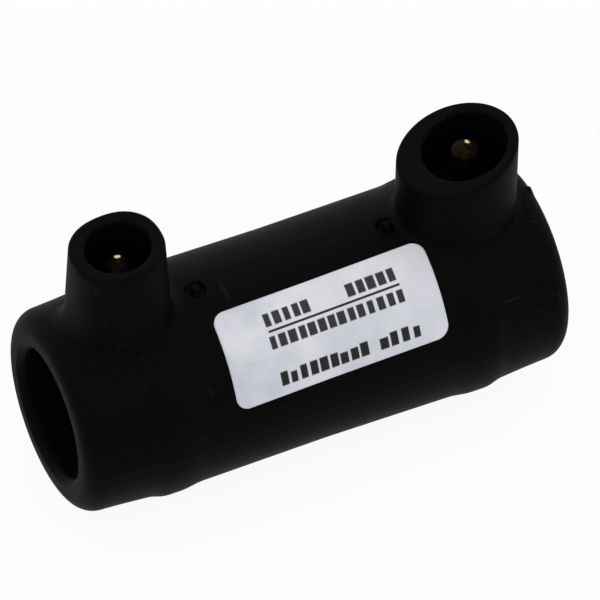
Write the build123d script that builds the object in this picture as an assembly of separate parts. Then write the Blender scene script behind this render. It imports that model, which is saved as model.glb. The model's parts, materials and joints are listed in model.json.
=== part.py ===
from build123d import *
import os
from dataclasses import dataclass
from math import asin, atan, cos, pi, radians, sin, sqrt, tan

# Electrofusion coupler for polyethylene pipe, in millimetres.
# One black moulding joins two pipe ends. A heating wire wound into the wall of its bore melts
# the sockets onto the pipes, and two brass pins, each in a shroud of its own, feed the wire.
# X runs along the bore, Z points up along the pins, and the origin is the middle of the bore.

# Sockets: the bore takes a pipe from each end, as far as the stop in the middle
pipe_diameter = 20.0
pipe_clearance = 0.15
socket_depth = 38.45
mouth_chamfer = 0.9
stop_width = 2.4
stop_height = 1.3
stop_chamfer = 0.5

# Barrel: thickness of its wall from the middle of the coupler to the end faces
middle_wall = 6.2
shoulder_wall = 6.42
collar_wall = 6.8
root_wall = 6.2
end_wall = 5.6
end_round = 2.7

# Collars: how far inwards of its pin each raised ring starts, tops out and falls, and where it ends
collar_start_inset = 7.35
collar_top_inset = 4.75
collar_fall_inset = 1.75
collar_end_outset = 0.15

# Heating wire: a coil in each socket, a straight link under the stop and a lead to each pin
wire_width = 0.5
wire_proud = 0.05
wire_clearance = 0.03
coil_pitch = 4.4
coil_turns = 3
link_bend = 2.0
lead_bend = 1.5

# Terminal pins: turned brass, moulded into the wall up to the floor of their wells
pin_inset = 11.5
pin_radius = 2.0
pin_root_radius = 2.3
pin_tip_height = 28.9
pin_tip_radius = 0.62
pin_nose = 1.5
pin_tail_radius = 1.5
pin_tail_end = 12.2
pin_socket_depth = 1.6
flange_radius = 3.0
flange_start = 14.4
flange_thickness = 1.0

# Shrouds: what both have in common
foot_height = 8.0
well_floor = 17.7
boss_radius = 3.2
boss_height = 0.6
rim_chamfer = 0.4
ramp_share = 0.78

# Fusion indicators: a stud in a ring-shaped pocket over each coil
indicator_inset = 12.55
stud_radius = 0.8
stud_height = 0.5
pocket_radius = 1.6
pocket_depth = 0.7

# Steps that a rounded edge is drawn in
round_steps = 3

# Label: a thin sheet that follows the front of the barrel
label_width = 34.7
label_height = 15.4
label_corner = 1.9
label_thickness = 0.12
label_shift = 1.4
label_lift = 47.0
label_turn = 1.3

# Sizes worked out from the ones above
bore_radius = pipe_diameter / 2 + pipe_clearance
half_length = socket_depth + stop_width / 2
middle_radius = bore_radius + middle_wall
collar_radius = bore_radius + collar_wall
pin_position = half_length - pin_inset
collar_start = pin_position - collar_start_inset
collar_top_start = pin_position - collar_top_inset
collar_top_end = pin_position - collar_fall_inset
collar_end = pin_position + collar_end_outset
indicator_position = pin_position - indicator_inset
coil_radius = bore_radius - wire_proud + wire_width / 2
channel_width = wire_width + 2 * wire_clearance
wire_hole_radius = channel_width / sqrt(2)
boss_top = well_floor + boss_height


@dataclass
class Shroud:
    """One terminal shroud: a tapered tower with ramps at its foot, a sloping rim and a well."""

    side: int
    shift: float
    rim_height: float
    rim_radius: float
    rim_slope: float
    taper: float
    foot_round: float
    well_radius: float

    @property
    def pin_place(self):
        """Where along the bore the shroud's pin stands."""
        return self.side * pin_position

    @property
    def centre(self):
        """Where along the bore the middle of the shroud stands."""
        return self.pin_place + self.shift

    @property
    def rise(self):
        """How far the rim climbs for each millimetre along the bore."""
        return tan(radians(self.rim_slope))

    def radius(self, height):
        """Radius of the tower's outside at one height."""
        return self.rim_radius + (self.rim_height - height) * tan(radians(self.taper))


left_shroud = Shroud(
    side=-1,
    shift=-0.35,
    rim_height=31.4,
    rim_radius=7.15,
    rim_slope=8.0,
    taper=2.6,
    foot_round=2.0,
    well_radius=4.9,
)
right_shroud = Shroud(
    side=1,
    shift=-0.85,
    rim_height=27.9,
    rim_radius=8.9,
    rim_slope=12.6,
    taper=1.2,
    foot_round=1.2,
    well_radius=6.3,
)
shrouds = (left_shroud, right_shroud)


def quarter_round(radius):
    """Points of a rounded edge, as how far each lies inwards from both of the faces it joins."""
    turns = [pi / 2 * step / round_steps for step in range(round_steps + 1)]
    return [(radius * (1 - sin(turn)), radius * (1 - cos(turn))) for turn in turns]


def barrel_bar(growth=0.0):
    """A solid bar with the outside of the barrel, or one that lies outside it by growth."""
    end_radius = bore_radius + end_wall
    right_side = [
        (collar_start, bore_radius + shoulder_wall + growth),
        (collar_top_start, collar_radius + growth),
        (collar_top_end, collar_radius + growth),
        (collar_end, bore_radius + root_wall + growth),
    ]
    for back, drop in quarter_round(end_round):
        right_side.append((half_length - back, end_radius - drop + growth))
    left_side = [(-x, radius) for x, radius in reversed(right_side)]
    waist = [(0, middle_radius + growth)]
    axis = [(half_length, 0), (-half_length, 0)]
    return revolve(make_face(Polyline(*left_side, *waist, *right_side, *axis, close=True)), Axis.X)


def bore_core():
    """The two sockets with their chamfered mouths, and the narrow throat through the stop."""
    stop_edge = stop_width / 2
    throat_radius = bore_radius - stop_height
    right_side = [
        (stop_edge - stop_chamfer, throat_radius),
        (stop_edge, throat_radius + stop_chamfer),
        (stop_edge, bore_radius),
        (half_length - mouth_chamfer, bore_radius),
        (half_length, bore_radius + mouth_chamfer),
    ]
    left_side = [(-x, radius) for x, radius in reversed(right_side)]
    ends = [(half_length, 0), (-half_length, 0)]
    return revolve(make_face(Polyline(*left_side, *right_side, *ends, close=True)), Axis.X)


def upright(radius, bottom, top):
    """A round bar along Z from one height to another."""
    return Pos(0, 0, bottom) * Cylinder(radius, top - bottom, align=(Align.CENTER, Align.CENTER, Align.MIN))


def shroud_tower(shroud):
    """A shroud before its well is cut: a tapered tower with a sloping rim."""
    top = shroud.rim_height + shroud.rim_radius * shroud.rise + rim_chamfer
    outside = [(shroud.radius(foot_height), foot_height), (shroud.radius(top), top)]
    section = Polyline((0, foot_height), *outside, (0, top), close=True)
    tower = revolve(Plane.XZ * make_face(section), Axis.Z)
    rim = Plane(
        origin=(0, 0, shroud.rim_height),
        x_dir=(1, 0, shroud.rise),
        z_dir=(-shroud.rise, 0, 1),
    )
    return split(tower, bisect_by=rim, keep=Keep.BOTTOM)


def shroud_foot(shroud):
    """The ramps that ease a shroud into the barrel, one at each end of it along the bore."""
    edge = shroud.radius(collar_radius)
    base = bore_radius + end_wall
    ramp = [(edge + spread, base + lift) for spread, lift in quarter_round(shroud.foot_round)]
    ramp.append((edge * ramp_share, base))
    left_ramp = [(-x, radius) for x, radius in ramp]
    reach = edge + shroud.foot_round
    under = [(reach, foot_height), (-reach, foot_height)]
    rings = revolve(make_face(Polyline(*left_ramp, *reversed(ramp), *under, close=True)), Axis.X)
    return rings & extrude(Ellipse(reach, edge * ramp_share), 2 * base)


def shroud_solid(shroud):
    """A shroud with its well, and with the boss that stands round the pin on the well's floor."""
    tower = Pos(shroud.centre, 0, 0) * shroud_tower(shroud)
    at_pin = Pos(shroud.pin_place, 0, 0)
    well = at_pin * upright(shroud.well_radius, well_floor, tower.bounding_box().max.Z)
    hollow = tower - well
    highest_flat = hollow.faces().filter_by(GeomType.PLANE).sort_by(Axis.Z)[-1]
    rounded = chamfer(highest_flat.edges(), rim_chamfer)
    foot = Pos(shroud.centre, 0, 0) * shroud_foot(shroud) - well
    return rounded + foot + at_pin * upright(boss_radius, well_floor, boss_top)


def pin_outline():
    """A terminal pin as the moulding holds it: tail, six-sided flange, root, shaft and tapered nose."""
    shaft_end = pin_tip_height - pin_nose
    section = Polyline(
        (0, 0, pin_tail_end),
        (pin_tail_radius, 0, pin_tail_end),
        (pin_tail_radius, 0, flange_start),
        (pin_root_radius, 0, flange_start),
        (pin_root_radius, 0, boss_top),
        (pin_radius, 0, boss_top),
        (pin_radius, 0, shaft_end),
        (pin_tip_radius, 0, pin_tip_height),
        (0, 0, pin_tip_height),
        close=True,
    )
    flange = Pos(0, 0, flange_start) * extrude(RegularPolygon(flange_radius, 6), flange_thickness)
    return revolve(make_face(section), Axis.Z) + flange


def terminal_pin():
    """A terminal pin with the hole in its tail that holds the end of the wire."""
    return pin_outline() - upright(wire_hole_radius, pin_tail_end, pin_tail_end + pin_socket_depth)


def bend(start, along, towards, radius, angle):
    """An arc that leaves start along one direction and turns towards another by angle."""

    def point(turned):
        return start + along * (radius * sin(turned)) + towards * (radius * (1 - cos(turned)))

    return ThreePointArc(point(0), point(angle / 2), point(angle))


def drawn(section, path, facing=None):
    """A section drawn along a path, turned so that its own X points the way that facing says."""
    plane = Plane(origin=path @ 0, x_dir=facing, z_dir=path % 0)
    return sweep(plane * section, path=path)


def wire_half(width):
    """The left half of the wire's run, drawn with a square section of one width.

    It comes down from the left pin, bends round into the coil, winds its way along the bore
    and bends again at the bottom, to run straight along the bore to the other half.
    """
    section = Rectangle(width, width)
    climb = atan(coil_pitch / (2 * pi * coil_radius))
    lead_angle = asin(lead_bend / (coil_radius + lead_bend))
    lead_turn = pi / 2 - lead_angle
    link_turn = pi / 2 - climb
    link_angle = atan(link_bend * (1 - sin(climb)) / coil_radius)
    coil_angle = 2 * pi * coil_turns + pi - link_angle - lead_angle
    coil_length = coil_pitch * coil_angle / (2 * pi)
    start = -pin_position + lead_bend * sin(lead_turn) * sin(climb)
    along_bore = Vector(1, 0, 0)

    def outward(angle):
        return Vector(0, -sin(angle), cos(angle))

    def onward(angle):
        return outward(angle + pi / 2) * cos(climb) + along_bore * sin(climb)

    def sideways(angle):
        return along_bore * cos(climb) - outward(angle + pi / 2) * sin(climb)

    frame = Plane(origin=along_bore * start, x_dir=outward(lead_angle), z_dir=along_bore)
    helix = Helix(coil_pitch, coil_length, coil_radius)
    first_turn = Plane(origin=helix @ 0, x_dir=(1, 0, 0), z_dir=helix % 0)
    coil = frame * sweep(first_turn * section, path=helix, is_frenet=True)

    lead_out = outward(lead_angle)
    lead_back = onward(lead_angle) * -1
    lead = bend(along_bore * start + lead_out * coil_radius, lead_back, lead_out, lead_bend, lead_turn)
    lead_top_facing = lead_out * cos(lead_turn) - lead_back * sin(lead_turn)
    lead_top = Line(lead @ 1, (lead @ 1) + (lead % 1) * (pin_tail_end + pin_socket_depth - (lead @ 1).Z))

    last_angle = lead_angle + coil_angle
    last_out = outward(last_angle)
    coil_end = along_bore * (start + coil_length) + last_out * coil_radius
    link = bend(coil_end, onward(last_angle), sideways(last_angle), link_bend, link_turn)
    straight = Line(link @ 1, (0, (link @ 1).Y, (link @ 1).Z))

    leads = drawn(section, lead, lead_out) + drawn(section, lead_top, lead_top_facing)
    return coil + leads + drawn(section, link, last_out) + drawn(section, straight, last_out)


def heating_wire():
    """The whole wire, from the left pin through both coils to the right pin."""
    half = wire_half(wire_width)
    return half + half.rotate(Axis.Z, 180)


def wire_channel():
    """The room that the wire takes in the moulding: a groove round the bore, and its tunnels."""
    half = wire_half(channel_width)
    return half + half.rotate(Axis.Z, 180)


def indicator(side):
    """What a fusion indicator adds to the barrel and takes from it: its stud and its pocket."""
    up = Plane(origin=(side * indicator_position, 0, middle_radius), z_dir=(0, 0, 1))
    pocket = upright(pocket_radius, -pocket_depth, pocket_depth)
    stud = upright(stud_radius, -pocket_depth, stud_height)
    return up * pocket, up * chamfer(stud.edges().group_by(Axis.Z)[-1], stud_radius / 4)


def coupler_body():
    """The moulding, with room left in it for the wire and for both pins."""
    moulding = barrel_bar()
    for shroud in shrouds:
        moulding += shroud_solid(shroud)
        pocket, stud = indicator(shroud.side)
        moulding = moulding - pocket + stud
    moulding = moulding - bore_core() - wire_channel()
    for shroud in shrouds:
        moulding -= Pos(shroud.pin_place, 0, 0) * pin_outline()
    return moulding


def label():
    """The label: a sheet with rounded corners, wrapped on the waist of the barrel."""
    spread = 2 * middle_radius * sin(label_height / (2 * middle_radius))
    lift = radians(label_lift)
    turn = radians(label_turn)
    outward = Vector(0, -cos(lift), sin(lift))
    upward = Vector(0, sin(lift), cos(lift))
    facing = Plane(
        origin=(label_shift, 0, 0),
        x_dir=Vector(1, 0, 0) * cos(turn) + upward * sin(turn),
        z_dir=outward,
    )
    outline = RectangleRounded(label_width, spread, label_corner)
    return (barrel_bar(label_thickness) - barrel_bar()) & extrude(facing * outline, 2 * middle_radius)


pieces = {
    "body": coupler_body(),
    "heating_wire": heating_wire(),
    "label": label(),
}
for end, shroud in (("left", left_shroud), ("right", right_shroud)):
    pieces[f"terminal_pin_{end}"] = Pos(shroud.pin_place, 0, 0) * terminal_pin()

os.makedirs("parts", exist_ok=True)
for name, piece in pieces.items():
    export_step(piece, f"parts/{name}.step")
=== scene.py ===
"""Electrofusion coupler: a black pipe sleeve with two terminal shrouds, brass pins and a label.

Sizes are in millimetres unless a name says otherwise, and become metres where a mesh is made.
X runs along the bore, Z points up along the terminal pins, and the origin is the middle of the bore.
"""

import json
import logging
import math
from dataclasses import dataclass, field
from enum import Enum
from typing import Any

import bmesh
import bpy
import numpy as np
from mathutils import Matrix, Vector


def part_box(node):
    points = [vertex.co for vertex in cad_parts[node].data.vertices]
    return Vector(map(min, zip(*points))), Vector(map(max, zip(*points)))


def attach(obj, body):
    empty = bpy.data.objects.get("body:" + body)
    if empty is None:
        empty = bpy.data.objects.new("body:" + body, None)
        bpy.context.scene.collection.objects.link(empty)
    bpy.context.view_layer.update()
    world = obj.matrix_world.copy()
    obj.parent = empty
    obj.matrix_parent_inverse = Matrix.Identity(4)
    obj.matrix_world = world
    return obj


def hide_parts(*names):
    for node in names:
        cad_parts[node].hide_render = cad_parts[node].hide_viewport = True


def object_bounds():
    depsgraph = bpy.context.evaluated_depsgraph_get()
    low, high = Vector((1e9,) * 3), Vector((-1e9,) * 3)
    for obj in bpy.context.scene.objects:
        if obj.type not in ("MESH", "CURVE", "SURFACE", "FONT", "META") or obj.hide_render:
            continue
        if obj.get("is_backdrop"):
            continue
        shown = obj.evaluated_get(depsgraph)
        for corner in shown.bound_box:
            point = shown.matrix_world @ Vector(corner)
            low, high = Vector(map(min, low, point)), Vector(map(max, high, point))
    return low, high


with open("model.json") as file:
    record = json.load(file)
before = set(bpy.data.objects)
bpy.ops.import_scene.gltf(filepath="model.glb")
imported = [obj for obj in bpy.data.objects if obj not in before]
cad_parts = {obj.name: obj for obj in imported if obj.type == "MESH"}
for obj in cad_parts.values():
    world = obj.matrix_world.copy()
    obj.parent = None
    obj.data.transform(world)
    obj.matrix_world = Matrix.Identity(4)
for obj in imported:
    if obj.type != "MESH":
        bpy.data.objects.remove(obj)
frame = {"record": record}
log = logging.getLogger("coupler")
MM = 0.001
Array = np.ndarray
Colour = tuple[float, float, float, float]
Point = tuple[float, float, float]
Pair = tuple[float, float]
Pairs = tuple[Pair, ...]
Piece = bpy.types.Object
Socket = bpy.types.NodeSocket
ALONG = np.array([1.0, 0.0, 0.0])


# ---- shader arithmetic


class Value:
    """A number that a material works out at each point. Arithmetic on it adds Math nodes."""

    def __init__(self, graph: "Graph", socket: Socket) -> None:
        """Wraps one output socket of a graph."""
        self.graph = graph
        self.socket = socket

    def apply(self, operation: str, *given: Any) -> "Value":
        """The result of a Math node on one or two numbers or values."""
        return self.graph.value("Math", {"operation": operation}, dict(enumerate(given)))

    def __add__(self, other: Any) -> "Value":
        """self + other."""
        return self.apply("ADD", self, other)

    __radd__ = __add__

    def __sub__(self, other: Any) -> "Value":
        """self - other."""
        return self.apply("SUBTRACT", self, other)

    def __rsub__(self, other: Any) -> "Value":
        """other - self."""
        return self.apply("SUBTRACT", other, self)

    def __mul__(self, other: Any) -> "Value":
        """self * other."""
        return self.apply("MULTIPLY", self, other)

    __rmul__ = __mul__

    def __abs__(self) -> "Value":
        """The size of self without its sign."""
        return self.apply("ABSOLUTE", self)

    def floor(self) -> "Value":
        """The whole number below self."""
        return self.apply("FLOOR", self)

    def fraction(self) -> "Value":
        """What is left of self above the whole number below it."""
        return self.apply("FRACT", self)

    def root(self) -> "Value":
        """The square root of self."""
        return self.apply("SQRT", self)

    def least(self, other: Any) -> "Value":
        """The smaller of self and other."""
        return self.apply("MINIMUM", self, other)

    def most(self, other: Any) -> "Value":
        """The larger of self and other."""
        return self.apply("MAXIMUM", self, other)

    def rise(self, low: Any, high: Any) -> "Value":
        """A smooth step from 0 at low to 1 at high, which are numbers or values."""
        inputs = {"Value": self, "From Min": low, "From Max": high}
        return self.graph.value("MapRange", {"interpolation_type": "SMOOTHSTEP"}, inputs)

    def inside(self, low: Any, high: Any, soft: float) -> "Value":
        """1 where self lies between low and high, and 0 outside, with edges soft wide."""
        return self.rise(low - soft, low + soft) * (1 - self.rise(high - soft, high + soft))


class Graph:
    """The node graph of a material or of the world, built from nothing."""

    def __init__(self, tree: bpy.types.NodeTree) -> None:
        """Empties a node tree to build in."""
        self.tree = tree
        tree.nodes.clear()

    def node(self, kind: str, settings: dict[str, Any], inputs: dict[Any, Any]) -> bpy.types.Node:
        """Adds one node.

        Args:
            kind: the node's type, without its ShaderNode.
            settings: attributes of the node, which are set first.
            inputs: a Value, a socket or a constant for each socket, by name or number.

        Returns:
            The node.
        """
        made = self.tree.nodes.new("ShaderNode" + kind)
        for name, setting in settings.items():
            setattr(made, name, setting)
        for name, given in inputs.items():
            source = given.socket if isinstance(given, Value) else given
            if isinstance(source, Socket):
                self.tree.links.new(source, made.inputs[name])
            else:
                made.inputs[name].default_value = source
        return made

    def value(self, kind: str, settings: dict[str, Any], inputs: dict[Any, Any]) -> Value:
        """The first result of a node, which is added as node adds it."""
        return Value(self, self.node(kind, settings, inputs).outputs[0])

    def place(self) -> Socket:
        """The point's place on the object, in metres."""
        return self.node("TexCoord", {}, {}).outputs["Object"]

    def axes(self) -> tuple[Value, Value, Value]:
        """The point's x, y and z on the object, in millimetres."""
        parts = self.node("SeparateXYZ", {}, {0: self.place()})
        return tuple(Value(self, out) * (1 / MM) for out in parts.outputs)

    def noise(
        self, scale: float, detail: float = 2.0, rough: float = 0.5, stretch: Point = (1.0, 1.0, 1.0)
    ) -> Value:
        """Soft noise from 0 to 1.

        Args:
            scale: how many waves there are to a metre.
            detail: how many finer layers it has.
            rough: how strong those are.
            stretch: how much finer it is along each axis.

        Returns:
            The noise at the point.
        """
        spot = self.node("Mapping", {}, {"Vector": self.place(), "Scale": stretch})
        inputs = {"Vector": spot.outputs[0], "Scale": scale, "Detail": detail, "Roughness": rough}
        return self.value("TexNoise", {}, inputs)

    def chance(self, index: Value) -> Value:
        """A number from 0 to 1 that looks random and stays the same for each index."""
        return self.value("TexWhiteNoise", {"noise_dimensions": "1D"}, {"W": index})

    def blend(self, share: Value, first: Any, second: Any) -> Socket:
        """A colour that goes from first to second as share goes from 0 to 1."""
        return self.node("Mix", {"data_type": "RGBA"}, {0: share, 6: first, 7: second}).outputs[2]

    def bump(self, height: Value, depth: float) -> Socket:
        """A normal bent by a height, of which 1 stands for depth millimetres."""
        return self.node("Bump", {}, {"Height": height, "Distance": depth * MM}).outputs[0]

    def seen(self) -> Value:
        """1 where the camera sees the point, straight, mirrored or through glass, and else 0."""
        path, kinds = self.node("LightPath", {}, {}).outputs, ("Camera", "Glossy", "Transmission")
        return sum(Value(self, path[f"Is {kind} Ray"]) for kind in kinds).least(1.0)

    def surface(self, **inputs: Any) -> None:
        """Ends the graph in a Principled shader with these inputs, their names' gaps written _."""
        named = {name.replace("_", " "): given for name, given in inputs.items()}
        self.node("OutputMaterial", {}, {"Surface": self.node("BsdfPrincipled", {}, named).outputs[0]})


def grey(level: float) -> Colour:
    """A neutral colour of one level."""
    return (level, level, level, 1.0)


# ---- finishes


@dataclass(frozen=True)
class Finish:
    """One finish: what it is called, and how its material is made."""

    name: str
    slot: str

    def material(self) -> bpy.types.Material:
        """Makes the material once, for all the pieces that have this finish.

        Returns:
            The material.
        """
        found = bpy.data.materials.get(self.name)
        if found:
            return found
        made = bpy.data.materials.new(self.name)
        made.use_nodes = True
        self.build(Graph(made.node_tree))
        return made

    def build(self, graph: Graph) -> None:
        """Fills the material's node graph."""
        raise NotImplementedError


@dataclass(frozen=True)
class MouldedBlack(Finish):
    """Black polyethylene from the mould: satin skin, handling marks, dust and a parting line."""

    black: float = 0.0012
    scuffed: float = 0.011
    roughness: float = 0.48
    shine: float = 0.03
    depth: float = 0.035
    parting_width: float = 0.12
    outside_from: float = 14.5
    outside_to: float = 15.1

    def build(self, graph: Graph) -> None:
        """Fills the node graph.

        Args:
            graph: the material's node graph.
        """
        x, y, z = graph.axes()
        from_bore = (y * y + z * z).root()
        outside = from_bore.rise(self.outside_from, self.outside_to)
        skin = graph.noise(900, 3, 0.55)
        peel = graph.noise(2600, 2, 0.5)
        patches = graph.noise(120, 4, 0.6)
        rubs = graph.noise(1300, 3, 0.6, (0.06, 1.0, 1.0)).rise(0.64, 0.76) * outside
        nicks = graph.noise(900, 2, 0.5, (1.0, 0.07, 0.5)).rise(0.70, 0.77) * outside
        cells = graph.value("TexVoronoi", {}, {"Vector": graph.place(), "Scale": 420.0})
        dust = (1 - cells.rise(0.045, 0.09)) * graph.noise(160, 1).rise(0.5, 0.62)
        parting = (1 - abs(z).rise(0, self.parting_width)) * outside
        marks = (rubs * 0.6 + nicks * 0.5 + dust + parting * 0.35).least(1.0)
        height = peel * 0.35 + skin * 0.5 + parting * 1.6 - nicks * 0.8 - rubs * 0.35
        graph.surface(
            Base_Color=graph.blend(marks, grey(self.black), grey(self.scuffed)),
            Roughness=self.roughness + patches * 0.12 + marks * 0.18 + skin * 0.05,
            Specular_IOR_Level=self.shine,
            Normal=graph.bump(height, self.depth),
        )


@dataclass(frozen=True)
class TurnedBrass(Finish):
    """Brass terminal: a painted highlight, a spot of bright brass at the tip of each nose, and a shaft
    painted dark as shade, with a brownish mottle.

    A highlight spot is a place along the bore, a place across it, and a radius.
    """

    # The first colour is the painted highlight at the tips.
    bright: Colour = (0.72, 0.56, 0.28, 1.0)
    # Painted shade: these two near-black colours stand for the shaft in shade, with a brownish mottle
    # between them.
    painted_shade_dull: Colour = (0.014, 0.010, 0.0052, 1.0)
    painted_shade_brown: Colour = (0.0055, 0.004, 0.0025, 1.0)
    # Where the painted highlight's spots lie, and the heights over which it comes in.
    highlight_spots: tuple[Point, Point] = ((-28.08, 0.46, 0.52), (28.60, 0.05, 0.38))
    highlight_from: float = 28.20
    highlight_to: float = 28.45
    roughness: float = 0.52
    depth: float = 0.012

    def build(self, graph: Graph) -> None:
        """Fills the node graph.

        Args:
            graph: the material's node graph.
        """
        x, y, z = graph.axes()
        left, right = (
            ((x - along) * (x - along) + (y - across) * (y - across)).root() - radius
            for along, across, radius in self.highlight_spots
        )
        # Painted highlight: a spot of bright brass at each tip, where the light glints.
        tip = (1 - left.least(right).rise(-0.08, 0.10)) * z.rise(self.highlight_from, self.highlight_to)
        rings = (z * 9.0).fraction().inside(0.3, 0.7, 0.2)
        stains = graph.noise(1400, 4, 0.6)
        scratches = graph.noise(3800, 2, 0.5, (1.0, 0.15, 1.0))
        # Painted shade: the shaft is coloured near black, mottled between two dark tones.
        tarnish_and_shade = graph.blend(stains.rise(0.35, 0.65), self.painted_shade_dull, self.painted_shade_brown)
        # The base colour: painted shade, with the painted highlight laid over it at the tips.
        shade_and_highlight = graph.blend(tip * (0.75 + scratches * 0.35).least(1.0), tarnish_and_shade, self.bright)
        graph.surface(
            Base_Color=shade_and_highlight,
            Metallic=1.0,
            Roughness=self.roughness - tip * 0.20 + stains * 0.12,
            Normal=graph.bump(rings * (1 - tip) + scratches * 0.35, self.depth),
        )


@dataclass(frozen=True)
class DrawnCopper(Finish):
    """Bare copper-alloy wire with draw marks and heat-tinted patches."""

    bright: Colour = (0.80, 0.44, 0.26, 1.0)
    tinted: Colour = (0.46, 0.22, 0.12, 1.0)
    roughness: float = 0.26
    depth: float = 0.004

    def build(self, graph: Graph) -> None:
        """Fills the node graph.

        Args:
            graph: the material's node graph.
        """
        tint = graph.noise(500, 3, 0.6).rise(0.35, 0.7)
        draw = graph.noise(5200, 2, 0.5, (1.0, 0.2, 0.2))
        graph.surface(
            Base_Color=graph.blend(tint, self.bright, self.tinted),
            Metallic=1.0,
            Roughness=self.roughness + tint * 0.16 + draw * 0.08,
            Normal=graph.bump(draw, self.depth),
        )


class Weight(Enum):
    """How heavy a row of print is: how dense its ink is."""

    FINE = 0.98
    BOLD = 1.0


@dataclass(frozen=True)
class PrintRow:
    """A row of plain printed blocks, in shares of the label's width and height from its top left.

    mixed is the share of its height that about half of its blocks lack.
    """

    left: float
    right: float
    top: float
    bottom: float
    blocks: int
    weight: Weight
    mixed: float = 0.0


@dataclass(frozen=True)
class PrintedFilm(Finish):
    """Cool white film label with plain dark blocks and a rule in place of print.

    The three draws keep the chances of the rows, the right edges and the heights apart.
    """

    film: Colour = (0.715, 0.728, 0.762, 1.0)
    shade: Colour = (0.565, 0.580, 0.652, 1.0)
    ink: Colour = (0.011, 0.011, 0.012, 1.0)
    rows: tuple[PrintRow, ...] = (
        PrintRow(0.207, 0.433, 0.166, 0.298, 5, Weight.FINE),
        PrintRow(0.597, 0.842, 0.166, 0.298, 5, Weight.FINE),
        PrintRow(0.200, 0.848, 0.394, 0.522, 14, Weight.FINE),
        PrintRow(0.206, 0.634, 0.757, 0.900, 9, Weight.BOLD, 0.20),
        PrintRow(0.676, 0.882, 0.757, 0.900, 4, Weight.BOLD, 0.20),
    )
    rule: Point = (0.217, 0.839, 0.346)
    rule_half_height: float = 0.012
    gap: float = 0.15
    soft: float = 0.004
    block_soft: float = 0.05
    row_draw: float = 31.0
    edge_draw: float = 7.3
    height_draw: float = 3.7
    roughness: float = 0.50
    shine: float = 0.18
    depth: float = 0.05

    def build(self, graph: Graph) -> None:
        """Fills the node graph.

        Each row's ink is where its height and its block pattern both hold. A block fills its
        cell apart from a gap on each side, and the gaps and the heights differ by chance.

        Args:
            graph: the material's node graph.
        """
        laid = graph.node("UVMap", {"uv_map": "sheet"}, {}).outputs[0]
        parts = graph.node("SeparateXYZ", {}, {0: laid})
        across, up = (Value(graph, out) for out in parts.outputs[:2])
        down = 1 - up
        left, right, middle = self.rule
        high, low = middle - self.rule_half_height, middle + self.rule_half_height
        inked = across.inside(left, right, self.soft) * down.inside(high, low, self.soft)
        for number, row in enumerate(self.rows):
            cell = (across - row.left) * (row.blocks / (row.right - row.left))
            index = cell.floor() + self.row_draw * number
            before = graph.chance(index) * self.gap + self.gap * 0.5
            after = 1 - graph.chance(index + self.edge_draw) * self.gap - self.gap * 0.5
            blocks = cell.fraction().inside(before, after, self.block_soft)
            band = across.inside(row.left, row.right, self.soft)
            low = graph.chance(index + self.height_draw).rise(0.45, 0.46)
            top = low * (row.mixed * (row.bottom - row.top)) + row.top
            tall = down.inside(top, row.bottom, self.soft * 2)
            inked = inked.most(blocks * band * tall * row.weight.value)
        wear = graph.noise(2600, 3, 0.6)
        patches = graph.noise(90, 3, 0.55)
        mottle = patches.rise(0.35, 0.65) * 0.65 + graph.noise(420, 2, 0.5).rise(0.35, 0.7) * 0.3
        edge = abs(across - 0.5).rise(0.487, 0.5).most(abs(down - 0.5).rise(0.472, 0.5))
        # Painted light: the mottle fades towards the right, so the film is painted lighter on its
        # right side. The film is also darker in a thin band along its edges.
        mottle_and_painted_light = (mottle * (1.35 - across * 0.75) + edge * 0.35).least(1.0)
        film = graph.blend(mottle_and_painted_light, self.film, self.shade)
        graph.surface(
            Base_Color=graph.blend(inked * (0.96 + wear * 0.08).least(1.0), film, self.ink),
            Roughness=self.roughness + patches * 0.10 - inked * 0.08,
            Specular_IOR_Level=self.shine,
            Normal=graph.bump(graph.noise(240, 3, 0.5) + wear * 0.1 + inked * 0.15, self.depth),
        )


@dataclass(frozen=True)
class PaleFloor(Finish):
    """Pale floor that keeps the shadow, is nearly white where it is seen, and clear from below."""

    level: float = 0.86
    glow: float = 0.93

    def build(self, graph: Graph) -> None:
        """Fills the node graph.

        Args:
            graph: the material's node graph.
        """
        cloth = graph.node("BsdfDiffuse", {}, {"Color": grey(self.level)})
        white = graph.node("Emission", {}, {"Color": grey(1.0), "Strength": 1.0})
        shares = {0: graph.seen() * self.glow, 1: cloth.outputs[0], 2: white.outputs[0]}
        lit = graph.node("MixShader", {}, shares)
        behind = graph.node("NewGeometry", {}, {}).outputs["Backfacing"]
        clear = graph.node("BsdfTransparent", {}, {})
        faces = {0: behind, 1: lit.outputs[0], 2: clear.outputs[0]}
        both = graph.node("MixShader", {}, faces)
        graph.node("OutputMaterial", {}, {"Surface": both.outputs[0]})


MOULDED = MouldedBlack("moulded_black", "black_polyethylene")
BRASS = TurnedBrass("turned_brass", "pin_brass")
COPPER = DrawnCopper("drawn_copper", "copper_wire")
FILM = PrintedFilm("printed_film", "label_film")
FLOOR = PaleFloor("pale_floor", "floor")


# ---- surfaces


def linked(name: str, data: bpy.types.ID) -> Piece:
    """Makes an object and puts it into the scene.

    Args:
        name: the object's name.
        data: its mesh, camera or lamp.

    Returns:
        The object.
    """
    made = bpy.data.objects.new(name, data)
    bpy.context.scene.collection.objects.link(made)
    return made


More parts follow.
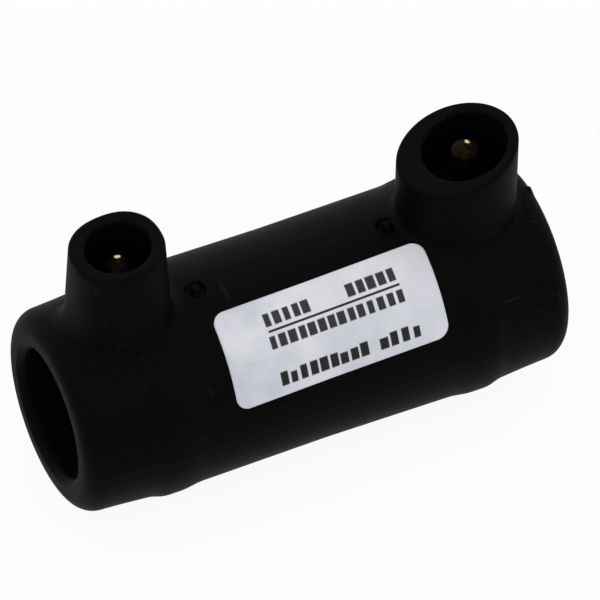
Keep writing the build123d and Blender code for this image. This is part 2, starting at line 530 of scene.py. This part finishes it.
def skin(name: str, points: Array, ring: bool = False, poles: tuple[Any, Any] = (None, None)) -> Piece:
    """A smooth surface over a grid of points whose columns go all the way round.

    Each point makes a face with the next row and column, and the last column joins the first.

    Args:
        name: the piece's name.
        points: rows x columns x 3, in millimetres.
        ring: whether the last row joins the first, as round a tube bent into a ring.
        poles: the points that close the first and the last row, where it isn't a ring.

    Returns:
        The piece, riding the body.
    """
    rows, columns = points.shape[:2]
    index = np.arange(rows * columns).reshape(rows, columns)
    upper = index if ring else index[:-1]
    lower = np.roll(index, -1, 0) if ring else index[1:]
    quads = joined(upper, np.roll(upper, -1, 1), np.roll(lower, -1, 1), lower)
    faces = quads.reshape(-1, 4).tolist()
    spots = points.reshape(-1, 3)
    for row, pole in zip((index[0], index[-1]), poles):
        if pole is not None:
            faces += joined(row, np.roll(row, -1), len(spots)).tolist()
            spots = np.vstack([spots, pole])
    mesh = bpy.data.meshes.new(name)
    mesh.from_pydata((spots * MM).tolist(), [], faces)
    return finished(name, mesh, True)


def finished(name: str, mesh: bpy.types.Mesh, outward: bool) -> Piece:
    """Puts a mesh into the scene as a smooth piece that rides the body.

    Args:
        name: the piece's name.
        mesh: its mesh, in metres.
        outward: whether its faces are turned outwards, as a closed mesh's can be.

    Returns:
        The piece.
    """
    if outward:
        work = bmesh.new()
        work.from_mesh(mesh)
        bmesh.ops.recalc_face_normals(work, faces=work.faces)
        work.to_mesh(mesh)
        work.free()
    mesh.shade_smooth()
    piece = linked(name, mesh)
    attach(piece, "root")
    return piece


def dress(piece: Piece, finish: Finish, *nodes: str) -> None:
    """Gives a piece its finish, and hides the solids that it stands for.

    Args:
        piece: the piece.
        finish: what it is made of.
        nodes: the nodes of those solids.
    """
    piece.data.materials.clear()
    piece.data.materials.append(finish.material())
    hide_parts(*nodes)
    log.info("%s: %d faces, finish %s", piece.name, len(piece.data.polygons), finish.name)


def spaced(start: float, *stretches: Pair) -> Array:
    """Numbers from a start through stretches, each at its own spacing.

    Args:
        start: the first number.
        stretches: pairs of the number where a stretch ends and the spacing up to it.

    Returns:
        The numbers in order.
    """
    parts = [np.array([start])]
    for end, gap in stretches:
        count = max(1, math.ceil(abs(end - start) / gap))
        parts.append(np.linspace(start, end, count + 1)[1:])
        start = end
    return np.concatenate(parts)


def joined(*parts: Any) -> Array:
    """Arrays or numbers, spread over the same grid and stacked into points or faces."""
    return np.stack(np.broadcast_arrays(*parts), -1)


def full_turn(count: int) -> Array:
    """Angles evenly round a full turn, in radians."""
    return np.linspace(0, 2 * math.pi, count, endpoint=False)


def unit(vectors: Array) -> Array:
    """Vectors of the same directions, each 1 long."""
    return vectors / np.linalg.norm(vectors, axis=1)[:, None]


def arc(middle: Pair, radius: float, start: float, end: float, count: int) -> Array:
    """Points on a circle's arc, as pairs. start and end are in degrees."""
    turn = np.radians(np.linspace(start, end, count))
    return joined(middle[0] + radius * np.cos(turn), middle[1] + radius * np.sin(turn))


def bend(start: Array, leaving: Array, towards: Array, radius: float, turned: Array) -> Array:
    """Points on an arc that leaves a point in one direction and turns towards another."""
    turned = turned[:, None]
    return start + leaving * radius * np.sin(turned) + towards * radius * (1 - np.cos(turned))


def quarter(count: int) -> list[Pair]:
    """Steps round a quarter circle: pairs of 1 - sin, which falls to 0, and 1 - cos, which rises."""
    return [(1 - math.sin(t), 1 - math.cos(t)) for t in np.linspace(0, math.pi / 2, count)]


def step(value: Array, low: float, high: float) -> Array:
    """A smooth step from 0 at low to 1 at high, as 3t^2 - 2t^3."""
    t = np.clip((value - low) / (high - low), 0, 1)
    return t * t * (3 - 2 * t)


class Side(Enum):
    """The two ends of the coupler, and which way each lies along the bore."""

    LEFT = -1
    RIGHT = 1


# ---- the heating wire


@dataclass
class HeatingWire:
    """The wire: from one pin down into a coil, along the bottom of the bore, and up to the other."""

    pin_place: float
    radius: float = 0.25
    coil_radius: float = 10.35
    pitch: float = 4.4
    turns: float = 3.0
    lead_bend: float = 1.5
    link_bend: float = 2.0
    top: float = 13.8
    groove_half_width: float = 0.32
    groove_floor_share: float = 0.4
    groove_depth: float = 0.42
    lead_points: int = 6
    bend_points: int = 12
    coil_points: int = 200
    link_points: int = 8
    round_segments: int = 12
    climb: float = field(init=False)
    lead_angle: float = field(init=False)
    coil_angle: float = field(init=False)
    start: float = field(init=False)

    def __post_init__(self) -> None:
        """Works out the coil's slope, where it starts, and how far round it goes."""
        self.climb = math.atan(self.pitch / (2 * math.pi * self.coil_radius))
        self.lead_angle = math.asin(self.lead_bend / (self.coil_radius + self.lead_bend))
        link_angle = math.atan(self.link_bend * (1 - math.sin(self.climb)) / self.coil_radius)
        self.coil_angle = 2 * math.pi * self.turns + math.pi - link_angle - self.lead_angle
        turn = math.pi / 2 - self.lead_angle
        self.start = -self.pin_place + self.lead_bend * math.sin(turn) * math.sin(self.climb)

    @staticmethod
    def outward(angle: Array | float) -> Array:
        """The direction out of the bore at an angle from the top: (0, -sin, cos)."""
        return joined(0.0, -np.sin(angle), np.cos(angle))

    def onward(self, angle: float) -> Array:
        """The direction in which the coil runs at an angle from the top."""
        round_bore = self.outward(angle + math.pi / 2)
        return round_bore * math.cos(self.climb) + ALONG * math.sin(self.climb)

    def half_path(self) -> tuple[Array, Array]:
        """The wire's middle line from the left pin to the middle, and a direction across it.

        The coil is a helix: along = start + pitch x angle / one turn, at one radius. Each bend
        is a circle's arc.

        Returns:
            The points and the directions, each count x 3.
        """
        out, back = self.outward(self.lead_angle), -self.onward(self.lead_angle)
        turned = np.linspace(math.pi / 2 - self.lead_angle, 0, self.bend_points)
        lead = bend(ALONG * self.start + out * self.coil_radius, back, out, self.lead_bend, turned)
        heading = back * math.cos(turned[0]) + out * math.sin(turned[0])
        length = (self.top - lead[0, 2]) / heading[2]
        straight = lead[0] + heading * np.linspace(length, 0, self.lead_points)[:-1, None]

        angle = np.linspace(0, self.coil_angle, self.coil_points)[1:]
        whole = self.lead_angle + angle
        coil = ALONG * (self.start + self.pitch * angle / (2 * math.pi))[:, None]
        coil = coil + self.outward(whole) * self.coil_radius

        last = whole[-1]
        round_bore = self.outward(last + math.pi / 2)
        sideways = ALONG * math.cos(self.climb) - round_bore * math.sin(self.climb)
        bent = np.linspace(0, math.pi / 2 - self.climb, self.bend_points)[1:]
        link = bend(coil[-1], self.onward(last), sideways, self.link_bend, bent)
        to_middle = link[-1] * (0, 1, 1) - link[-1]
        ends = link[-1] + to_middle * np.linspace(0, 1, self.link_points)[1:, None]

        swing = (angle / self.coil_angle * math.pi / 2)[:, None]
        across = np.concatenate([
            np.repeat(ALONG[None], len(straight) + len(lead), 0),
            ALONG * np.cos(swing) + self.outward(whole) * np.sin(swing),
            np.repeat(self.outward(last)[None], len(link) + len(ends), 0),
        ])
        return np.concatenate([straight, lead, coil, link, ends]), across

    def groove(self, along: Array, angle: Array) -> Array:
        """How much deeper the bore's wall lies where the coil is bedded in it.

        A point lies off the nearest turn by its place along the bore less the helix's, taken to
        the nearest whole pitch, and the groove is a smooth dip over that.

        Args:
            along: places along the bore, rows x 1.
            angle: angles round the bore from the top, 1 x columns.

        Returns:
            The depth, rows x columns.
        """
        floor = self.groove_floor_share * self.groove_half_width
        depth = np.zeros(np.broadcast(along, angle).shape)
        for side in Side:
            place = -side.value * along
            turned = np.mod(-side.value * angle - self.lead_angle, 2 * math.pi)
            helix = self.start + self.pitch * turned / (2 * math.pi)
            nearest = np.round((place - helix) / self.pitch)
            nearest = np.clip(nearest, 0, np.floor((self.coil_angle - turned) / (2 * math.pi)))
            off = np.abs(place - helix - nearest * self.pitch)
            dip = self.groove_depth * (1 - step(off, floor, self.groove_half_width))
            depth = np.maximum(depth, dip)
        return depth

    def build(self) -> Piece:
        """The wire as a round tube carried along the whole path: centre + radius x (cos, sin).

        Returns:
            The piece.
        """
        left, across_left = self.half_path()
        turn_about = np.array([-1.0, -1.0, 1.0])
        path = np.concatenate([left, (left * turn_about)[::-1][1:]])
        across = np.concatenate([across_left, (across_left * turn_about)[::-1][1:]])
        ahead = unit(np.gradient(path, axis=0))
        across = unit(across - ahead * np.sum(across * ahead, 1)[:, None])
        beside = np.cross(ahead, across)
        turn = full_turn(self.round_segments)[None, :, None]
        spokes = across[:, None] * np.cos(turn) + beside[:, None] * np.sin(turn)
        rings = path[:, None] + self.radius * spokes
        return skin("heating_coil", rings, poles=(path[0], path[-1]))


# ---- the moulding


@dataclass
class Barrel:
    """The sleeve: its outside with two soft collars, its rounded ends, and the bore with its stop.

    outside holds pairs of a place from the middle and a radius. lip holds the points of the
    mouth's rounded edge, as pairs of how far in from the end and how far out from the bore.
    """

    wire: HeatingWire
    half_length: float
    outside: Pairs = (
        (0.0, 16.35), (15.0, 16.51), (20.8, 16.57), (23.4, 16.95), (26.4, 16.95),
        (28.3, 16.35), (33.0, 15.98), (37.0, 15.75), (42.0, 15.75),
    )
    easing: float = 0.9
    easing_steps: int = 13
    end_radius: float = 15.75
    end_round: float = 3.3
    bore_radius: float = 10.15
    mouth: float = 0.9
    lip: Pairs = ((0.04, 0.93), (0.405, 0.468), (0.85, 0.07))
    lip_gap: float = 0.15
    coil_zone: Pair = (11.6, 29.2)
    stop_half: float = 1.2
    throat: float = 8.85
    stop_edge: float = 0.45
    stop_fillet: float = 0.25
    indicator_place: float = 15.6
    indicator_zone: float = 2.0
    stud_radius: float = 0.8
    stud_height: float = 0.5
    pocket_radius: float = 1.6
    pocket_depth: float = 0.7
    flash_place: float = 38.9
    flash_angle: float = 0.05
    flash_height: float = 0.85
    flash_length: float = 0.45
    flash_width: float = 0.55
    plain_gap: float = 0.55
    fine_gap: float = 0.13
    groove_gap: float = 0.16
    top_half_width: float = 2.4
    plain_turn: float = 0.041
    fine_turn: float = 0.011

    def radius(self, along: Array) -> Array:
        """The outside's radius at places along the bore.

        It goes straight from stop to stop, and an average over a short stretch each way, with
        weights that fall off evenly, rounds its corners.

        Args:
            along: the places.

        Returns:
            The radii, in the shape of along.
        """
        stops = np.array(self.outside)
        shifts = np.linspace(-self.easing, self.easing, self.easing_steps)
        weights = 1 - np.abs(shifts) / (self.easing * 1.08)
        spread = np.abs(np.asarray(along)[..., None] + shifts)
        return np.sum(np.interp(spread, stops[:, 0], stops[:, 1]) * weights, -1) / weights.sum()

    def height(self, x: Array, y: Array) -> Array:
        """How high the outside stands over a point: the root of radius squared less y squared.

        Over the rounded end the radius drops as a circle's arc does.

        Args:
            x: the point's place along the bore.
            y: its place across the bore.

        Returns:
            The height over the bore's axis.
        """
        past = np.clip(np.abs(x) - (self.half_length - self.end_round), 0, self.end_round)
        drop = self.end_round - np.sqrt(self.end_round**2 - past**2)
        return np.sqrt(np.maximum((self.radius(x) - drop) ** 2 - y**2, 0.01))

    def outline(self) -> tuple[Array, Array]:
        """The wall's outline round one side: pairs of place along the bore and radius.

        Returns:
            The outline, and a mask of its points on the outside between the rounded ends.
        """
        flat = self.half_length - self.end_round
        near, far = (self.indicator_place + sign * self.indicator_zone for sign in (-1, 1))
        x = spaced(
            -flat, (-far, self.plain_gap), (-near, self.fine_gap), (near, 0.7), (far, self.fine_gap),
            (flat, self.plain_gap),
        )
        top = joined(x, self.radius(x))
        end = self.radius(np.array([flat]))[0] - self.end_round
        rounding = arc((flat, end), self.end_round, 90, 0, 18)[1:]
        down = np.linspace(end, self.bore_radius + self.mouth + self.lip_gap, 6)[1:]
        face = joined(self.half_length, down)
        lip = (self.half_length, self.bore_radius) + np.array(self.lip) * (-1, 1)
        inner = spaced(
            self.half_length - self.mouth - self.lip_gap, (self.coil_zone[1], 1.2),
            (self.coil_zone[0], self.groove_gap), (self.stop_half + 0.3, 1.2),
        )
        bore = joined(inner, self.bore_radius)
        fillet, edge = self.stop_fillet, self.stop_edge
        corner = arc((self.stop_half + fillet, self.bore_radius - fillet), fillet, 90, 180, 5)
        nose = arc((self.stop_half - edge, self.throat + edge), edge, 0, -90, 6)
        right = np.concatenate([rounding, face, lip, bore, corner, nose])
        outline = np.concatenate([top, right, right[::-1] * (-1, 1)])
        return outline, np.arange(len(outline)) < len(top)

    def build(self) -> Piece:
        """The sleeve: its outline carried round the bore's axis, with its small forms added.

        A point is (along, -radius x sin, radius x cos) of its angle from the top. The indicators
        add a stud to the radius and take a ring-shaped pocket, the coil takes its groove, and
        the flash adds a small bell-shaped tip.

        Returns:
            The piece.
        """
        outline, outside = self.outline()
        near_top = self.top_half_width / self.bore_radius
        wide = spaced(near_top, (2 * math.pi - near_top, self.plain_turn))
        fine = spaced(-near_top, (near_top, self.fine_turn))
        angle = np.concatenate([fine, wide[1:-1]])[None]
        along, radius = outline[:, :1], outline[:, 1:]
        in_bore = np.isclose(radius, self.bore_radius)
        past_end = radius > self.end_radius - self.end_round + 0.05
        swing = np.mod(angle + math.pi, 2 * math.pi) - math.pi
        off = np.hypot(np.abs(along) - self.indicator_place, swing * radius)
        stud = 1 - step(off, self.stud_radius - 0.22, self.stud_radius + 0.05)
        pocket = 1 - step(off, self.pocket_radius - 0.15, self.pocket_radius + 0.1)
        mark = (self.stud_height + self.pocket_depth) * stud - self.pocket_depth * pocket
        flash_off = ((along - self.flash_place) / self.flash_length) ** 2
        flash_off = flash_off + ((swing - self.flash_angle) * radius / self.flash_width) ** 2
        radius = radius + np.where(outside[:, None], mark, 0)
        radius = radius + np.where(past_end, self.flash_height * np.exp(-flash_off), 0)
        radius = radius + np.where(in_bore, self.wire.groove(along, angle), 0)
        points = joined(along, -radius * np.sin(angle), radius * np.cos(angle))
        return skin("barrel", points, ring=True)


@dataclass
class Shroud:
    """A terminal shroud: a tapered tower that flows out of the barrel, with a sloping rim and a well.

    Seen from above the tower is a slightly squared ellipse, which leans a little. Its reach at
    an angle is (|cos|^n + |sin|^n)^(-1/n), with n its squareness, and across the bore it is
    narrowed to its share. hidden_rows holds how far the rows inside the barrel sink and draw in.
    """

    barrel: Barrel
    side: Side
    pin_place: float
    shift: float
    back: float
    lean: float
    rim_height: float
    rim_radius: float
    rim_slope: float
    taper: float
    foot: float
    squareness: float
    width_share: float
    well_radius: float
    foot_height: float = 17.0
    foot_share: float = 0.55
    foot_sink: float = 0.012
    hidden_rows: Pairs = ((1.6, 0.6), (0.5, 0.15))
    hidden_foot: float = 14.4
    well_floor: float = 17.7
    well_round: float = 0.6
    boss_radius: float = 3.2
    boss_top: float = 18.3
    pin_root: float = 2.3
    edge: float = 0.5
    columns: int = 144
    cos: Array = field(init=False)
    sin: Array = field(init=False)
    plan_x: Array = field(init=False)
    plan_y: Array = field(init=False)
    well_middle: float = field(init=False)

    def __post_init__(self) -> None:
        """Works out the directions round the pin, the tower's plan, and the well's middle."""
        turn = full_turn(self.columns)
        self.cos, self.sin = np.cos(turn), np.sin(turn)
        n = self.squareness
        reach = (np.abs(self.cos) ** n + np.abs(self.sin) ** n) ** (-1 / n)
        self.plan_x, self.plan_y = reach * self.cos, reach * self.sin * self.width_share
        self.well_middle = self.side.value * self.pin_place

    def wall(self, height: Array) -> Array:
        """The outside's radius at a height: the rim's, growing evenly downwards."""
        return self.rim_radius + (self.rim_height - height) * math.tan(math.radians(self.taper))

    def middle(self, height: Array) -> tuple[Array, Array]:
        """The tower's middle at a height, as x and y: it leans evenly from the foot to the rim."""
        x = self.well_middle + self.shift + self.lean * (self.rim_height - height)
        return x, self.back * (height - self.foot_height) / (self.rim_height - self.foot_height)

    def rim_plane(self, x: Array) -> Array:
        """The height of the sloping rim over a place along the bore."""
        past = x - self.middle(self.rim_height)[0]
        return self.rim_height + math.tan(math.radians(self.rim_slope)) * past

    def rim_over(self, radius: Array) -> Array:
        """The height of the sloping rim over a ring of the tower's plan."""
        return self.rim_plane(self.middle(self.rim_height)[0] + radius * self.plan_x)

    def ring(self, radius: Array, height: Array) -> Array:
        """A round ring of points about the pin."""
        return joined(self.well_middle + radius * self.cos, radius * self.sin, height)

    def tower(self, radius: Array, height: Array) -> Array:
        """A ring of the tower's plan at a height."""
        x, y = self.middle(height)
        return joined(x + radius * self.plan_x, y + radius * self.plan_y, height)

    def on_barrel(self, radius: Array) -> Array:
        """The barrel's height under a ring at the tower's foot."""
        x = self.middle(self.foot_height)[0] + radius * self.plan_x
        return self.barrel.height(x, radius * self.plan_y)

    def foot_rows(self) -> list[Array]:
        """The rows hidden in the barrel, and the quarter round that leaves its surface.

        Each point of the quarter round stands its lift above the barrel's height at that spot.

        Returns:
            The rows, from the lowest up.
        """
        rows = []
        ramp = self.foot * (self.foot_share + (1 - self.foot_share) * self.cos**2)
        for sink, inset in self.hidden_rows:
            radius = self.wall(self.foot_height) + ramp - inset
            rows.append(self.tower(radius, self.on_barrel(radius) - sink))
        guess = self.on_barrel(self.wall(self.foot_height))
        for falling, rising in quarter(13):
            lift = ramp * rising
            radius = self.wall(guess + lift) + ramp * falling
            height = self.on_barrel(radius) + lift - self.foot_sink * (rising == 0)
            rows.append(self.tower(radius, height))
        return rows

    def wall_rows(self, foot_top: Array) -> list[Array]:
        """The outside from the foot's top up, with the rim's rounded outer edge.

        Args:
            foot_top: the heights of the foot's last row.

        Returns:
            The rows, from the lowest up.
        """
        rows = []
        top = self.rim_over(self.rim_radius)
        for share in np.linspace(0, 1, 16)[1:]:
            height = foot_top + (top - self.edge - foot_top) * share
            rows.append(self.tower(self.wall(height), height))
        for falling, rising in quarter(7)[1:]:
            radius = self.wall(top) - self.edge * rising
            rows.append(self.tower(radius, self.rim_over(radius) - self.edge * falling))
        return rows

    def well_rows(self, outer_rim: Array) -> list[Array]:
        """The rim's flat and its rounded inner edge, the well's wall, and its floor's edge.

        Args:
            outer_rim: the last row of the rim's outer edge.

        Returns:
            The rows, from the rim down.
        """
        inner_rim = self.ring(self.well_radius + self.edge, 0)
        inner_rim[:, 2] = self.rim_plane(inner_rim[:, 0])
        rows = [outer_rim * (1 - share) + inner_rim * share for share in np.linspace(0, 1, 5)[1:]]
        for falling, rising in quarter(6)[1:]:
            radius = self.well_radius + self.edge * falling
            plane = self.rim_plane(self.well_middle + radius * self.cos)
            rows.append(self.ring(radius, plane - self.edge * rising))
        top, low = rows[-1][:, 2], self.well_floor + self.well_round
        for share in np.linspace(0, 1, 9)[1:]:
            rows.append(self.ring(self.well_radius, top + (low - top) * share))
        for falling, rising in quarter(6)[1:]:
            radius = self.well_radius - self.well_round * rising
            rows.append(self.ring(radius, self.well_floor + self.well_round * falling))
        return rows

    def boss_rows(self) -> list[Array]:
        """The well's floor and the boss round the pin's root."""
        floor, boss, top, root = self.well_floor, self.boss_radius, self.boss_top, self.pin_root
        return [self.ring(radius, height) for radius, height in (
            (boss + 0.5, floor), (boss + 0.15, floor + 0.03), (boss, floor + 0.15),
            (boss - 0.02, top - 0.12), (boss - 0.12, top - 0.02), (boss - 0.3, top),
            (root + 0.02, top), (root, top - 0.4),
        )]

    def build(self) -> Piece:
        """The tower as one closed surface: foot, wall, rim, well and boss.

        Returns:
            The piece.
        """
        foot = self.foot_rows()
        wall = self.wall_rows(foot[-1][:, 2])
        rows = foot + wall + self.well_rows(wall[-1]) + self.boss_rows()
        bottom = (self.middle(self.foot_height)[0], 0.0, self.hidden_foot)
        hidden = (self.well_middle, 0.0, self.boss_top - 0.6)
        return skin(f"shroud_{self.side.name.lower()}", np.stack(rows), poles=(bottom, hidden))


# ---- the pins and the label


@dataclass
class TerminalPin:
    """A turned pin: tail, six-sided flange, root, shaft, tapered nose and flat tip."""

    side: Side
    pin_place: float
    tail_radius: float = 1.5
    tail_end: float = 12.2
    flange_radius: float = 3.0
    flange_start: float = 14.4
    flange_end: float = 15.4
    root_radius: float = 2.3
    root_end: float = 18.3
    radius: float = 2.0
    nose_start: float = 27.4
    tip_radius: float = 0.62
    tip_height: float = 28.9
    edge: float = 0.1
    shaft_points: int = 12
    columns: int = 72

    def outline(self) -> Array:
        """The pin's outline from the tail's end to the tip.

        Returns:
            Pairs of radius and height.
        """
        tail, flange, root, shaft = self.tail_radius, self.flange_radius, self.root_radius, self.radius
        edge, nose, tip, top = self.edge, self.nose_start, self.tip_radius, self.tip_height
        climb = np.linspace(self.root_end + 0.5, nose - 0.12, self.shaft_points)
        return np.concatenate([
            [(tail - edge, self.tail_end), (tail, self.tail_end + edge)],
            [(tail, self.flange_start - 0.01), (flange, self.flange_start), (flange, self.flange_end)],
            [(root, self.flange_end + 0.01), (root, self.root_end - edge)],
            [(root - edge, self.root_end), (shaft + 0.05, self.root_end + 0.01)],
            [(shaft, self.root_end + 0.06)],
            joined(shaft, climb),
            [(shaft - 0.02, nose - 0.02), (shaft - 0.08, nose + 0.08)],
            [(tip + 0.1, top - 0.13), (tip + 0.02, top - 0.06), (tip - 0.04, top - 0.01)],
            [(tip - 0.12, top), (tip * 0.5, top)],
        ])

    def build(self) -> Piece:
        """The pin, its outline carried round its axis.

        The flange's radius changes with the angle as its six flats do: the flat's distance
        divided by the cosine of the angle from the middle of that flat.

        Returns:
            The piece.
        """
        outline = self.outline()
        turn = full_turn(self.columns)[None]
        radius, height = outline[:, :1], outline[:, 1:]
        from_flat = np.mod(turn, math.pi / 3) - math.pi / 6
        flats = self.flange_radius * math.cos(math.pi / 6) / np.cos(from_flat)
        radius = np.where(radius == self.flange_radius, flats, radius)
        middle = self.side.value * self.pin_place
        points = joined(middle + radius * np.cos(turn), radius * np.sin(turn), height)
        ends = tuple((middle, 0.0, end) for end in (self.tail_end, self.tip_height))
        return skin(f"pin_{self.side.name.lower()}", points, poles=ends)


@dataclass
class Label:
    """The label: a thin sheet with rounded corners, wrapped on the front of the barrel."""

    barrel: Barrel
    width: float = 34.67
    height: float = 15.11
    corner: float = 2.05
    thickness: float = 0.12
    shift: float = 1.60
    lift: float = 47.0
    turn: float = 1.5
    shear: float = 0.033
    rows: int = 61
    columns: int = 121

    def sheet(self) -> tuple[Array, Array]:
        """The sheet laid flat: each row is as wide as the rounded outline is at its height.

        Returns:
            The places across, rows x columns, and up, rows x 1.
        """
        half_width, half_height = self.width / 2, self.height / 2
        up = half_height * np.sin(np.linspace(-math.pi / 2, math.pi / 2, self.rows))[:, None]
        past = np.maximum(np.abs(up) - (half_height - self.corner), 0)
        reach = half_width - self.corner + np.sqrt(np.maximum(self.corner**2 - past**2, 0))
        return reach * np.linspace(-1, 1, self.columns)[None], up

    def build(self) -> Piece:
        """The sheet's outer face, which a modifier then gives its thickness.

        A flat point (across, up) is sheared a little and turned by the label's small tilt. Its
        across is then its place along the bore, and its up over the radius is its angle.

        Returns:
            The piece.
        """
        across, up = self.sheet()
        tilt = math.radians(self.turn)
        askew = across + self.shear * up
        along = self.shift + askew * math.cos(tilt) - up * math.sin(tilt)
        over = askew * math.sin(tilt) + up * math.cos(tilt)
        radius = self.barrel.radius(along) + self.thickness
        middle = self.barrel.radius(np.array([self.shift]))[0]
        angle = math.radians(90 - self.lift) - over / middle
        points = joined(along, -radius * np.sin(angle), radius * np.cos(angle))

        index = np.arange(self.rows * self.columns).reshape(self.rows, self.columns)
        quads = joined(index[:-1, :-1], index[:-1, 1:], index[1:, 1:], index[1:, :-1])
        mesh = bpy.data.meshes.new("label_sheet")
        mesh.from_pydata((points.reshape(-1, 3) * MM).tolist(), [], quads.reshape(-1, 4).tolist())
        flat = joined(across / self.width + 0.5, up / self.height + 0.5).reshape(-1, 2)
        corners = np.empty(len(mesh.loops), np.int32)
        mesh.loops.foreach_get("vertex_index", corners)
        layer = mesh.uv_layers.new(name="sheet")
        layer.data.foreach_set("uv", flat[corners].astype(np.float32).ravel())
        piece = finished("label_sheet", mesh, False)
        depth = piece.modifiers.new("thickness", "SOLIDIFY")
        depth.thickness = self.thickness * MM
        depth.offset = -1.0
        return piece


# ---- the studio


@dataclass(frozen=True)
class Lamp:
    """A soft square lamp: its place and side in metres, and its share of the lamps' power."""

    name: str
    place: Point
    size: float
    share: float


@dataclass
class Studio:
    """The camera, the floor, the lamps and the surroundings.

    distance, clip and floor_reach are in metres, sensor and lens in millimetres, and the
    lamps' power is in watts.
    """

    azimuth: float = -25.87
    elevation: float = 47.00
    roll: float = 0.965
    distance: float = 1.672
    lens: float = 674.4
    sensor: float = 36.0
    clip: Pair = (0.1, 20.0)
    aim_right: float = 1.473
    aim_up: float = 4.969
    floor_reach: float = 8.0
    fill: float = 0.72
    power: float = 4.4
    lamps: tuple[Lamp, ...] = (
        Lamp("lamp_front", (-0.25, -0.42, 1.25), 1.5, 1.0),
        Lamp("lamp_side", (0.95, -0.15, 0.70), 1.2, 0.5),
        Lamp("lamp_back", (-0.20, 0.95, 0.60), 1.4, 0.4),
    )

    def camera(self) -> None:
        """Sets the camera at its azimuth and elevation, looking at its aim point."""
        a, e, roll = (math.radians(v) for v in (self.azimuth, self.elevation, self.roll))
        back = Vector((math.sin(a) * math.cos(e), -math.cos(a) * math.cos(e), math.sin(e)))
        level = Vector((math.cos(a), math.sin(a), 0))
        upright = back.cross(level)
        right = level * math.cos(roll) + upright * math.sin(roll)
        above = back.cross(right)
        aim = (right * self.aim_right + above * self.aim_up) * MM
        facing = Matrix((right, above, back)).transposed().to_4x4()
        eye = linked("camera", bpy.data.cameras.new("camera"))
        eye.matrix_world = Matrix.Translation(aim + back * self.distance) @ facing
        eye.data.lens = self.lens
        eye.data.sensor_width = self.sensor
        eye.data.clip_start, eye.data.clip_end = self.clip
        bpy.context.scene.camera = eye

    def floor(self, height: float) -> None:
        """Lays a wide pale floor under the coupler.

        Args:
            height: where it lies, in metres.
        """
        signs = ((-1, -1), (1, -1), (1, 1), (-1, 1))
        corners = [(x * self.floor_reach, y * self.floor_reach, height) for x, y in signs]
        mesh = bpy.data.meshes.new("floor")
        mesh.from_pydata(corners, [], [(0, 1, 2, 3)])
        mesh.materials.append(FLOOR.material())
        piece = linked("floor", mesh)
        piece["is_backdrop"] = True

    def surroundings(self) -> None:
        """A white surround that lights softly and shows white where it is seen or mirrored."""
        world = bpy.data.worlds.new("surround")
        bpy.context.scene.world = world
        world.use_nodes = True
        graph = Graph(world.node_tree)
        strength = self.fill + graph.seen() * (1 - self.fill)
        shade = graph.node("Background", {}, {"Color": grey(1.0), "Strength": strength})
        graph.node("OutputWorld", {}, {"Surface": shade.outputs[0]})

    def hang(self, lamp: Lamp) -> None:
        """Adds a lamp that points at the middle of the coupler.

        Args:
            lamp: which lamp it is.
        """
        light = bpy.data.lights.new(lamp.name, "AREA")
        light.size = lamp.size
        light.energy = self.power * lamp.share
        piece = linked(lamp.name, light)
        piece.location = lamp.place
        piece.rotation_euler = Vector(lamp.place).to_track_quat("Z", "Y").to_euler()

    def build(self, floor_height: float) -> None:
        """Sets everything up.

        Args:
            floor_height: where the floor lies, in metres.
        """
        self.camera()
        self.floor(floor_height)
        self.surroundings()
        for lamp in self.lamps:
            self.hang(lamp)


def main() -> None:
    """Builds the coupler piece by piece, and then the studio round it."""
    logging.basicConfig(level=logging.INFO, format="%(name)s: %(message)s")
    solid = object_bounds()
    mounts = {m["name"]: m for m in frame["record"]["mounts"]}
    pin_place = mounts["terminal_right"]["pos_m"][0] / MM
    wire = HeatingWire(pin_place)
    barrel = Barrel(wire, half_length=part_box("body")[1].x / MM)
    dress(barrel.build(), MOULDED, "body")
    shrouds = (
        Shroud(
            barrel, Side.LEFT, pin_place, shift=-0.05, back=0.18, lean=0.004, rim_height=31.24,
            rim_radius=6.99, rim_slope=5.3, taper=3.2, foot=2.55, squareness=2.27,
            width_share=0.965, well_radius=4.9,
        ),
        Shroud(
            barrel, Side.RIGHT, pin_place, shift=-1.16, back=0.07, lean=-0.010, rim_height=27.95,
            rim_radius=9.15, rim_slope=13.6, taper=0.1, foot=1.35, squareness=2.0,
            width_share=0.93, well_radius=6.3,
        ),
    )
    for shroud in shrouds:
        dress(shroud.build(), MOULDED, "body")
    dress(wire.build(), COPPER, "heating_wire")
    for side in Side:
        dress(TerminalPin(side, pin_place).build(), BRASS, f"terminal_pin_{side.name.lower()}")
    dress(Label(barrel).build(), FILM, "label")
    Studio().build(solid[0].z)
    bpy.context.scene.view_settings.view_transform = "Standard"


if __name__ == "__main__":
    main()
